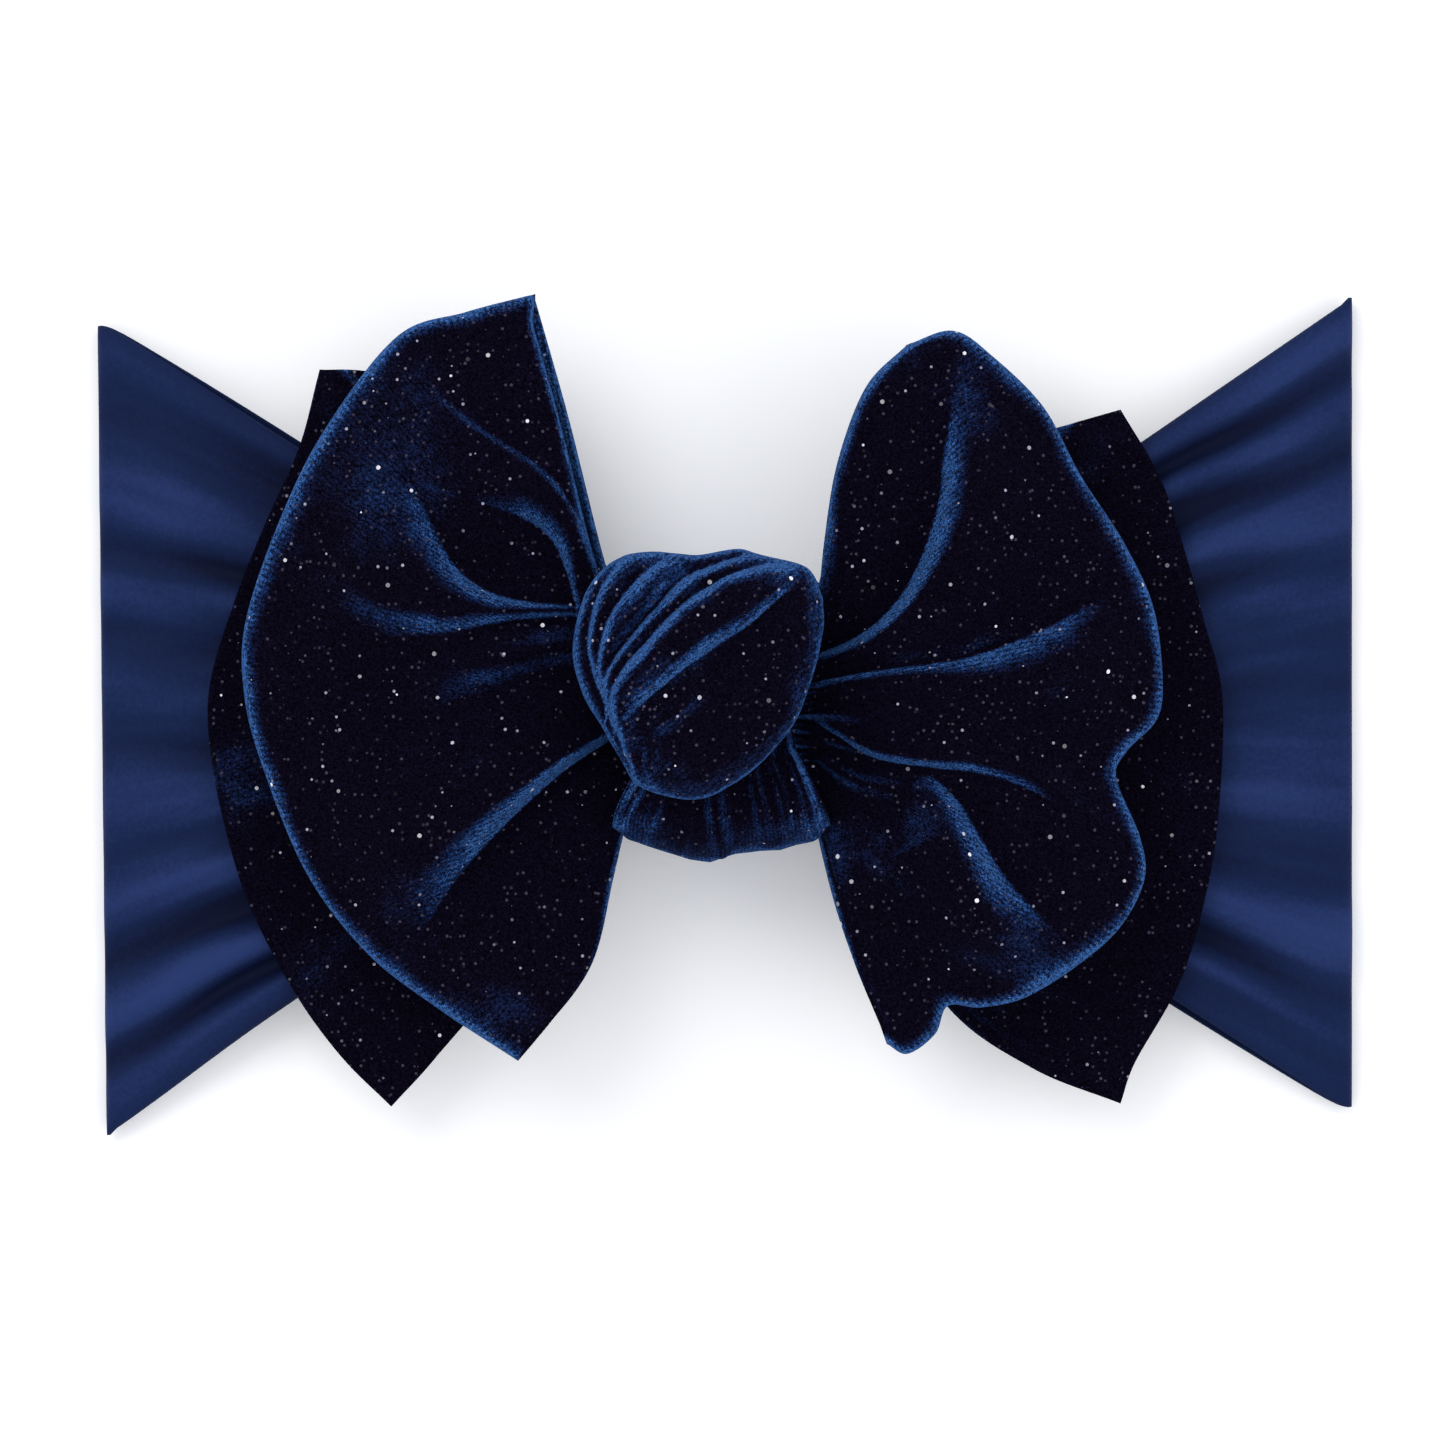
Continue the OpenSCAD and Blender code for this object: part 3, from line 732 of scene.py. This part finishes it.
def left_rear_sheen_spots(xy):
    """Painted sheen: spots where the left rear lobe's pile looks bluer."""
    return spots(xy, (-63, -9, 5, 7, 0.13), (-54, -33, 7, 7, 0.06), (-61, 12, 4, 8, 0.02))


def right_rear_sheen_spots(xy):
    """Painted sheen spots on the right rear lobe."""
    return spots(xy, (60, 20, 6, 8, 0.02), (57, -20, 6, 9, 0.015))


left_rear = rear_lobe("left", LEFT_REAR, left_rear_relief, left_rear_sheen_spots)
right_rear = rear_lobe("right", RIGHT_REAR, right_rear_relief, right_rear_sheen_spots)


# ---- knot

# The knot from the front: its outline, its middle, the directions that its boxy side faces and its crossing
# strand runs in, and the hollow between the strand and the nested pleats, where shade is painted
KNOT_OUTLINE = [(12.5, 15.1), (10.4, 19), (4.6, 20.6), (1.4, 21.4), (-3.8, 20.5), (-8.4, 21), (-13, 20.4),
                (-16.4, 18), (-18.4, 14), (-19.4, 8.6), (-18.2, 3), (-15.6, -1.6), (-13.2, -5.6),
                (-11.3, -8.6), (-6.5, -10.4), (-2, -10.2), (3.5, -6.9), (8.5, -1.4), (11, 4.6), (12.5, 10.8)]
KNOT_MIDDLE = np.array([-0.8, 5.4])
BOXY_SIDE, STRAND_RUNS = math.radians(-30), math.radians(42)
HOLLOW = np.array([-2.0, 12.6])


def knot_relief(xy):
    """Folds on the knot's front: nested pleats at the upper left, and one strand crossing over them."""
    relief = Relief(xy)
    nested = {"fall": 3.4, "valley": 0.45, "valley_width": 0.8}
    relief.fold([(-13.2, 20, 0.7, 1.2), (-15.8, 16.8, 1.5, 1.7), (-17.2, 13, 1.8, 1.9), (-17.7, 9, 1.8, 1.8),
                 (-17, 5, 1.5, 1.6), (-15.6, 1.2, 0.8, 1.2)], **nested)
    relief.fold([(-6.8, 21.2, 0.9, 1.4), (-11.4, 17.2, 1.8, 2), (-14.2, 12.8, 2.2, 2.2),
                 (-15.5, 8.6, 2.2, 2.1), (-15.8, 4.8, 1.9, 1.8), (-15, 0.4, 0.9, 1.3)], **nested)
    relief.fold([(4.2, 21.2, 0.7, 1.4), (-0.5, 19.8, 1.4, 1.8), (-5.4, 17.6, 2, 2.2), (-8.9, 13.6, 2.3, 2.4),
                 (-11.5, 10.1, 2.3, 2.4), (-13.4, 7, 2.2, 2.1), (-14.6, 3, 1.8, 1.8), (-13.9, -1.8, 1, 1.3)],
                **nested)
    relief.fold([(8.6, 19.6, 0.5, 1.3), (4.6, 19, 1.3, 1.7), (-1.1, 16.7, 2, 2.4), (-5.9, 13.1, 2.4, 2.9),
                 (-9.5, 9.3, 2.4, 2.9), (-12, 6, 2.2, 2.5), (-13.3, 2.4, 1.9, 2), (-13.2, -1.6, 1.5, 1.6),
                 (-12, -6, 0.8, 1.2)], **{**nested, "fall": 5.5})
    relief.fold([(9.8, 17.4, 0.1, 0.8), (6.4, 14.5, 0.6, 1), (3.5, 11.9, 0.9, 1.2), (0.4, 9.8, 1, 1.3),
                 (-2.6, 7.8, 1, 1.3), (-5.6, 5.5, 0.9, 1.3), (-8.1, 3.4, 0.8, 1.2), (-10.7, 1, 0.5, 1),
                 (-12.4, -1.7, 0.1, 0.8)], side=-1, fall=7, valley=0.6)
    relief.swell([(-9.4, -1.8, 0.2, 1.2), (-7.3, 0, 1, 1.4), (-4.9, 2, 1, 1.4), (-1.5, 4.4, 0, 1.4)])
    relief.swell([(-11.6, 0.4, 0.5, 0.9), (-11.6, -4, 1.1, 1), (-10.6, -8, 0.5, 1)])
    relief.swell([(-9.4, -2.4, 0.3, 0.9), (-9.2, -6, 0.8, 0.9), (-8.4, -9.2, 0.3, 0.9)])
    return relief


def knot_reach(theta):
    """How far the outline is from the knot's middle in each direction."""
    out = catmull(KNOT_OUTLINE + KNOT_OUTLINE[:1], 16) - KNOT_MIDDLE
    angle = np.mod(np.arctan2(out[:, 1], out[:, 0]), 2 * math.pi)
    order = np.argsort(angle)
    return np.interp(theta, angle[order], np.hypot(out[:, 0], out[:, 1])[order], period=2 * math.pi)


def knot_sheen_and_shade(xy, z, share, boxy, strand, beside):
    """Painted sheen spots, painted shade in the hollow beside the strand and in creases, painted highlight
    on ridges, and painted shade on the rim that is deepest on the boxy side and below.
    """
    tone = spots(xy, (-11, 11, 8, 11, 0.11), (0, 16, 9, 4, 0.05), (8, 2, 5, 8, 0.03), (-9, -5, 4, 4, 0.06))
    # painted shade in the hollow beside the strand
    from_hollow = xy - HOLLOW
    tone = tone - 0.16 * np.exp(-(from_hollow @ strand / 7) ** 2 - (from_hollow @ beside / 2.0) ** 2)
    # painted shade on the rim, deepest on the boxy side and below
    lower = np.maximum(boxy, 0.9 * smoothstep((3 - xy[..., 1]) / 8))
    rim = 0.14 * smoothstep((share - 0.76) / 0.16) + 0.24 * smoothstep((share - 0.90) / 0.08)
    return tone + 0.12 * standing(z, 6) - lower * rim - 0.10 * smoothstep((share - 0.86) / 0.1)


def knot_head():
    """The knot: a lumpy ball, round at the upper left and flatter in front, with the strip's pleats in it."""
    low, high = box_mm("knot_head")
    columns, front_rows, rear_rows, crowding, first, last = 400, 130, 60, 2.4, 0.012, 0.02
    theta = np.linspace(0, 2 * math.pi, columns, endpoint=False)
    # rows run from the front pole, where they are crowded together, to the rear one
    phi = np.concatenate([np.linspace(first, 1, front_rows) ** crowding * math.pi / 2,
                          np.linspace(math.pi / 2, math.pi - last, rear_rows)[1:]])[:, None]
    boxy = 0.5 + 0.5 * np.cos(theta - BOXY_SIDE)[None, :]
    share = np.sin(phi) ** (0.94 - 0.60 * boxy)
    # its widest section is below the middle, and the pleats need room under the top
    section, pleat_room, gap = 0.40, 3.6, 0.2
    mid_z = low[2] + section * (high[2] - low[2])
    up, down = high[2] - mid_z - pleat_room, mid_z - low[2] - gap
    front = np.maximum(np.cos(phi), 0) ** (1 - 0.64 * boxy)
    reach = knot_reach(theta)[None, :] * share
    x, y = KNOT_MIDDLE[0] + reach * np.cos(theta), KNOT_MIDDLE[1] + reach * np.sin(theta)
    z = mid_z + np.where(np.cos(phi) > 0, up * front, down * np.cos(phi))
    xy = np.dstack([x, y])
    relief = knot_relief(xy).z * smoothstep((1.75 - phi) / 0.35) * smoothstep((1.0 - share) / 0.10 + 0.25)
    relief = relief + 0.22 * noise_field(np.dstack([x, y, z]), 3.4, 1.4)
    # folds stand out from the ball, more forwards than sideways
    sideways = 0.55 * np.sin(phi)
    forward = np.broadcast_to(np.abs(np.cos(phi)) + 0.25, x.shape)
    way_out = np.dstack([sideways * np.cos(theta), sideways * np.sin(theta), forward])
    points = np.dstack([x, y, z]) + way_out * relief[..., None]
    strand = np.array([math.cos(STRAND_RUNS), math.sin(STRAND_RUNS)])
    beside = np.array([-strand[1], strand[0]])
    uv = np.dstack([xy @ strand, xy @ beside])
    tone = knot_sheen_and_shade(xy, points[..., 2], share, boxy, strand, beside)
    return close_ends(sheet_mesh("knot", points, uv, velvet, tone=tone, closed=(False, True)))


def close_ends(piece):
    """Fills the open rings of a mesh."""
    mesh = bmesh.new()
    mesh.from_mesh(piece.data)
    bmesh.ops.holes_fill(mesh, edges=mesh.edges, sides=0)
    mesh.to_mesh(piece.data)
    mesh.free()
    piece.data.polygons.foreach_set("use_smooth", np.ones(len(piece.data.polygons), bool))
    return piece


knot = knot_head()


# ---- wrap

# The strip's width and its way round the layers, the edge of its flap below the knot, about where that edge
# lies, and from where the cloth is stretched out to it
WRAP_CLOTH = (38.0, 120.0)
FLAP_EDGE = [(-14.7, -14.6), (-9.7, -16.4), (-4.5, -18.1), (-1.9, -18.4), (1.4, -17.3), (4.4, -16.9),
             (7.2, -16.8), (9.2, -16.1), (13.8, -15.1)]
FLAP_Y = -16.4
STRETCH_Y = -6.0


def wrap_relief(xy):
    """Pleats of the flap that shows below the knot, drawn together under it."""
    relief = Relief(xy)
    relief.swell([(-1.6, -8, 0.9, 1), (-0.9, -13, 1.3, 1.3), (0.2, -19, 1, 1.3)])
    relief.swell([(-14.8, -15, 0.8, 0.9), (-13.4, -12, 1.2, 0.9), (-10.8, -8.6, 0.9, 0.9)])
    relief.swell([(-11.4, -16, 0.5, 0.9), (-9.6, -12.6, 0.7, 0.9), (-8, -9, 0.4, 0.8)])
    relief.swell([(-6.6, -18, 0.5, 1.1), (-5.2, -14, 0.6, 1), (-4.2, -10, 0.3, 0.9)])
    relief.swell([(3, -5, 0.5, 0.7), (4.2, -10, 0.8, 0.9), (5.6, -16, 0.5, 1.1)])
    relief.swell([(5.2, -5, 0.5, 0.6), (7.2, -9.5, 0.6, 0.7), (8.6, -16, 0.3, 0.8)])
    relief.swell([(7.2, -3, 0.6, 0.7), (9.8, -8.2, 0.8, 0.9), (11.8, -15, 0.4, 1)])
    return relief


def wrap_path(top_z, back_z):
    """The way round the waist in y and z, from under the knot down the lower side and back up, with the
    strip's share of its full width."""
    path = [(-4, top_z + 1.2, 0.70), (-8.5, top_z + 1.8, 0.86), (-12.6, top_z + 0.6, 0.99),
            (-15, top_z - 2.6, 1.03), (-16, top_z - 7, 1.02), (-16, 13.5, 0.92), (-14.8, 8.2, 0.76),
            (-12, back_z + 1, 0.66), (-5, back_z + 0.4, 0.62), (5, back_z + 0.4, 0.62),
            (13.2, back_z + 1, 0.66), (16.2, 8.4, 0.76), (17.4, 14, 0.90), (17.6, top_z - 6, 0.96),
            (16.6, top_z - 0.4, 0.86), (12, top_z + 1.2, 0.78), (6, top_z + 1, 0.68), (1, top_z + 1, 0.66)]
    return resample(catmull(path + path[:1]), 200)[:-1]


def knot_wrap():
    """The strip's ends: one pleated band round all the layers, wide in front and drawn together behind."""
    low, high = box_mm("knot_wrap")
    top_z = high[2] + 1.0
    line = wrap_path(top_z, low[2])
    columns, overhang, edge_tone = 170, 0.8, -0.3
    w = np.linspace(-1, 1, columns)[None, :]
    s = np.linspace(0, 1, len(line))[:, None]
    x = (low[0] + high[0]) / 2 + ((high[0] - low[0]) / 2 + overhang) * line[:, 2:3] * w
    x, y, z = np.broadcast_arrays(x, line[:, :1], line[:, 1:2])
    tangent = np.gradient(line[:, :2], axis=0)
    away = np.column_stack([tangent[:, 1], -tangent[:, 0]]) / np.linalg.norm(tangent, axis=1, keepdims=True)
    away = away * np.sign(((line[:, :2] - line[:, :2].mean(axis=0)) * away).sum())
    # stretch the lower side out to the flap's edge
    reach = np.interp(x, *np.transpose(FLAP_EDGE)) / FLAP_Y
    stretch = 1 + (reach - 1) * FLAP_Y / (FLAP_Y - STRETCH_Y)
    y = np.where(y < STRETCH_Y, STRETCH_Y + (y - STRETCH_Y) * stretch, y)
    seen = smoothstep((-y - 3) / 3) * smoothstep((z - 9) / 5)
    drape = seen * smoothstep((z - top_z + 8) / 6)
    hidden_pleat = 0.42 * wave(9 * w + 0.5 * np.sin(3 * w + 5 * s)) * smoothstep((0.9 - np.abs(w)) / 0.2)
    lift = 0.8 * seen + wrap_relief(np.dstack([x, y])).z * drape + (0.5 + hidden_pleat) * (1 - seen)
    lift = lift - smoothstep((np.abs(w) - 0.88) / 0.12) + 0.2 * noise_field(np.dstack([x, y, z]), 4.0, 5.2)
    points = np.dstack([x, y + away[:, 0:1] * lift, z + away[:, 1:2] * lift])
    uv = np.dstack(np.broadcast_arrays(s * WRAP_CLOTH[1], w * WRAP_CLOTH[0] / 2))
    # the flap's lower edge turns under, away from the light, so shade is painted there; creases get painted
    # shade and ridges painted highlight
    under = 0.40 * (1 - smoothstep((z - top_z + 5) / 7)) + 0.20 * smoothstep((-y - 12.2) / 3)
    tone = -0.01 - under * seen * smoothstep((z - 10) / 10) + 0.16 * standing(lift, 4)
    tone[:, :2] = tone[:, -2:] = edge_tone
    return sheet_mesh("knot_wrap_cloth", points, uv, velvet, tone=tone, closed=(True, False),
                      thickness=VELVET_T)


wrap = knot_wrap()


# ---- band

# The cloth's width and its length round the loop, the end folds' radius, and the neck's end and half width
CLOTH_W = 107.5
FOLD_R = 1.9
NECK, NECK_HALF = 15.0, 8.8
# Wrinkles that run out from the gather: (place across, depth, half width), depth in millimetres and the
# others as shares of the width
LEFT_VALLEYS = [(0.915, 0.7, 0.020), (0.735, 1.2, 0.018), (0.625, 0.6, 0.022), (0.470, 0.6, 0.018),
                (0.329, 1.0, 0.020), (0.208, 1.7, 0.024), (0.083, 1.9, 0.015)]
RIGHT_VALLEYS = [(0.916, 1.9, 0.015), (0.822, 1.6, 0.022), (0.688, 1.1, 0.020), (0.586, 0.7, 0.020),
                 (0.520, 0.6, 0.014), (0.318, 0.9, 0.020), (0.264, 1.1, 0.018), (0.136, 1.4, 0.020),
                 (0.056, 0.8, 0.016)]


def band_section(half, top, per_ply=110, round_steps=8):
    """Once round the loop: each row's x and z, and how much it belongs to the front ply."""
    xs = np.linspace(-half, half, per_ply)
    turn = np.linspace(0, math.pi, round_steps + 2)[1:-1]
    beyond, above = FOLD_R * np.sin(turn), FOLD_R * np.cos(turn)
    x = np.concatenate([xs, half + beyond, xs[::-1], -half - beyond])
    rise = FOLD_R * 2 + (top - FOLD_R * 2) * np.cos(np.pi / 2 * (xs / half))
    z = np.concatenate([rise, FOLD_R + above, np.zeros(per_ply), FOLD_R - above])
    turned = 0.5 + 0.5 * np.cos(turn)
    front = np.concatenate([np.ones(per_ply), turned, np.zeros(per_ply), 1 - turned])
    return x[:, None], z[:, None], front[:, None]


def band_edges(x, front, fan, end):
    """Lower and upper edge: straight from each fold's rounded corner to the gather."""
    lean = 1.35 * np.sign(x) * fan
    spread = NECK_HALF + (CLOTH_W / 2 - NECK_HALF) * fan
    corner = 1.1 * np.exp(-(end - np.abs(x)) / 1.1)
    # the back ply shows as a thin rim beside the rounded corners
    rim = (1 - front) * fan * (1 - fan) * 4
    return lean - spread - (rim - corner) * (x > 0), lean + spread + (rim - corner) * (x < 0)


def band_wrinkles(x, v, fan):
    """Valleys with a ridge on either side, and small uneven wrinkles over them."""
    wander = (0.010 * np.sin(x / 9.0 + 5 * v) + 0.006 * np.sin(x / 4.1 + 11 * v)) * fan
    right_side = smoothstep((x + 9) / 18)
    field = np.zeros(wander.shape)
    for valleys, here in ((LEFT_VALLEYS, 1 - right_side), (RIGHT_VALLEYS, right_side)):
        for place, depth, width in valleys:
            across = (v + wander - place) / (width * (1 + 0.7 * fan))
            ridge = 0.55 * np.exp(-((across - 2.2) / 1.5) ** 2) + 0.30 * np.exp(-((across + 2.2) / 1.5) ** 2)
            field = field + here * depth * (ridge - np.exp(-across**2))
    wide_x = np.broadcast_to(x, field.shape)
    small = noise_field(np.dstack([wide_x / 26, v * 24 + x / 60]), 1, 4.6)
    small = small + 0.6 * noise_field(np.dstack([wide_x / 15, v * 52 - x / 40]), 1, 9.2)
    return field + 0.55 * small * fan


def nylon_loop():
    """The band: one loop of knit, fanned out at its end folds and gathered in the middle."""
    end, _, top = box_mm("nylon_band")[1]
    columns, bend, lowest = 205, 0.10, 0.02
    x, z0, front = band_section(end - FOLD_R, top)
    v = np.linspace(0, 1, columns)[None, :]
    far = np.abs(x)
    out = (far - NECK) / (end - NECK)
    fan = np.clip(np.where(out < bend, np.maximum(out + bend, 0) ** 2 / (4 * bend), out), 0, 1)
    lower, upper = band_edges(x, front, fan, end)
    y = lower + (upper - lower) * v

    # the wrinkles that show, and the pleats hidden under the bow
    wrinkles = band_wrinkles(x, v, fan) * (0.60 + 0.40 * smoothstep((end + 1 - far) / 24))
    broad = 0.8 * wave(3.2 * v + 0.2 + 0.1 * np.sign(x)) * smoothstep((end - far) / 30)
    hidden = smoothstep((57 - far) / 18)
    pleats = hidden * wave(13 * v + 0.4 * np.sin(9 * v))
    seen = wrinkles * (1 - 0.7 * hidden)
    curl = -1.1 * (np.exp(-v / 0.012) + np.exp(-(1 - v) / 0.012)) * fan
    z_front = seen + 0.7 * broad * (1 - 0.6 * hidden) + 2.0 * pleats + curl
    z_back = 0.5 * np.abs(seen) + 0.9 * hidden + 0.85 * pleats - curl * 0.4
    centre = 1 - smoothstep((far - 13) / 8)
    z = z0 + front * (z_front - 2.4 * centre) + (1 - front) * z_back

    # the left fold leans in towards its lower corner
    shown_x = x + 1.2 * (1 - v) * smoothstep((-x - 60) / 22)
    points = np.dstack([shown_x, y, np.maximum(z, lowest)])
    uv = np.dstack(np.broadcast_arrays(lengths(np.hstack([x, z0]))[:, None], v * CLOTH_W))
    # painted shade near the bow, deepest towards the upper edge and lighter away from it, painted shade in
    # the wrinkles' valleys and painted highlight on their ridges, and darker at the cut edges
    near_bow = smoothstep((76 - far) / 20)
    tone = wrinkles - 0.50 * near_bow * (0.35 + 0.65 * v) + 0.10 * (1 - near_bow)
    tone = tone - 0.5 * np.exp(-(1 - v) / 0.02) - 0.3 * np.exp(-v / 0.02)
    return sheet_mesh("nylon_loop", points, uv, nylon, tone=tone, closed=(True, False), thickness=NYLON_T)


band = nylon_loop()


# ---- bodies, cloth facts and CAD nodes

# How far the cloth of a lobe and of the waist goes out
FRONT_LOBE, REAR_LOBE, WAIST = 46, 54, 13
FRONT_FLAT = (FRONT_CLOTH, 2 * (FRONT_LOBE + WAIST))
REAR_FLAT = (REAR_CLOTH, REAR_LOBE + WAIST)

for piece, name, layer, flat in ((left_front, "left", "front", FRONT_FLAT),
                                 (right_front, "right", "front", FRONT_FLAT),
                                 (left_rear, "left", "rear", REAR_FLAT),
                                 (right_rear, "right", "rear", REAR_FLAT)):
    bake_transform(piece)
    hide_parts(f"{layer}_bow_{name}_lobe", f"{layer}_bow_waist")

for piece, node, slot in ((knot, "knot_head", "velvet"), (wrap, "knot_wrap", "velvet"),
                          (band, "nylon_band", "nylon_knit")):
    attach(piece, "root")
    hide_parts(node)

for node, material in (("band_back_seam", nylon), ("rear_gather_thread", thread),
                       ("front_gather_thread", thread), ("wrap_closing_stitches", thread)):
    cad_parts[node].data.materials.clear()
    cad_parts[node].data.materials.append(material)


# ---- stage, with the floor and lamps in metres

def floor(half=3):
    """White paper, which glows a little like a light table and so keeps the shadow soft."""
    mesh = bpy.data.meshes.new("floor")
    corners = [(-half, -half, 0), (half, -half, 0), (half, half, 0), (-half, half, 0)]
    mesh.from_pydata(corners, [], [(0, 1, 2, 3)])
    n = Nodes("floor_paper")
    n.set(Base_Color=(0.97, 0.97, 0.97, 1), Roughness=0.9, Specular_IOR_Level=0.1,
          Emission_Color=(1, 1, 1, 1), Emission_Strength=0.14)
    mesh.materials.append(n.material)
    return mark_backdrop(show("floor", mesh))


def area_light(name, place, size, power):
    """A square lamp that faces the object."""
    data = bpy.data.lights.new(name, "AREA")
    data.shape = "SQUARE"
    data.size = size
    data.energy = power
    lamp = show(name, data)
    lamp.location = place
    lamp.rotation_mode = "QUATERNION"
    lamp.rotation_quaternion = (-Vector(place)).to_track_quat("-Z", "Y")


def studio():
    """Pale sky, a key light from the upper left and a weaker one from the lower right."""
    world = bpy.data.worlds.new("studio")
    world.use_nodes = True
    background = world.node_tree.nodes["Background"]
    background.inputs["Color"].default_value = (0.93, 0.95, 1.0, 1)
    background.inputs["Strength"].default_value = 0.96
    bpy.context.scene.world = world
    area_light("key", place=(-0.35, 0.45, 0.75), size=0.5, power=2.1)
    area_light("fill", place=(0.6, -0.3, 0.6), size=0.6, power=0.9)
    bpy.context.scene.view_settings.view_transform = "Standard"


def camera():
    """Looks straight down from far away, with frame_width in the frame at the height of the bow."""
    middle, bow_z, frame_width = (-0.3, -0.8), 10, 188.6
    data = bpy.data.cameras.new("camera")
    data.lens = 200
    data.sensor_width = 36
    eye = show("camera", data)
    height = bow_z + frame_width * data.lens / data.sensor_width
    eye.location = (middle[0] * MM, middle[1] * MM, height * MM)
    bpy.context.scene.camera = eye


floor()
studio()
camera()
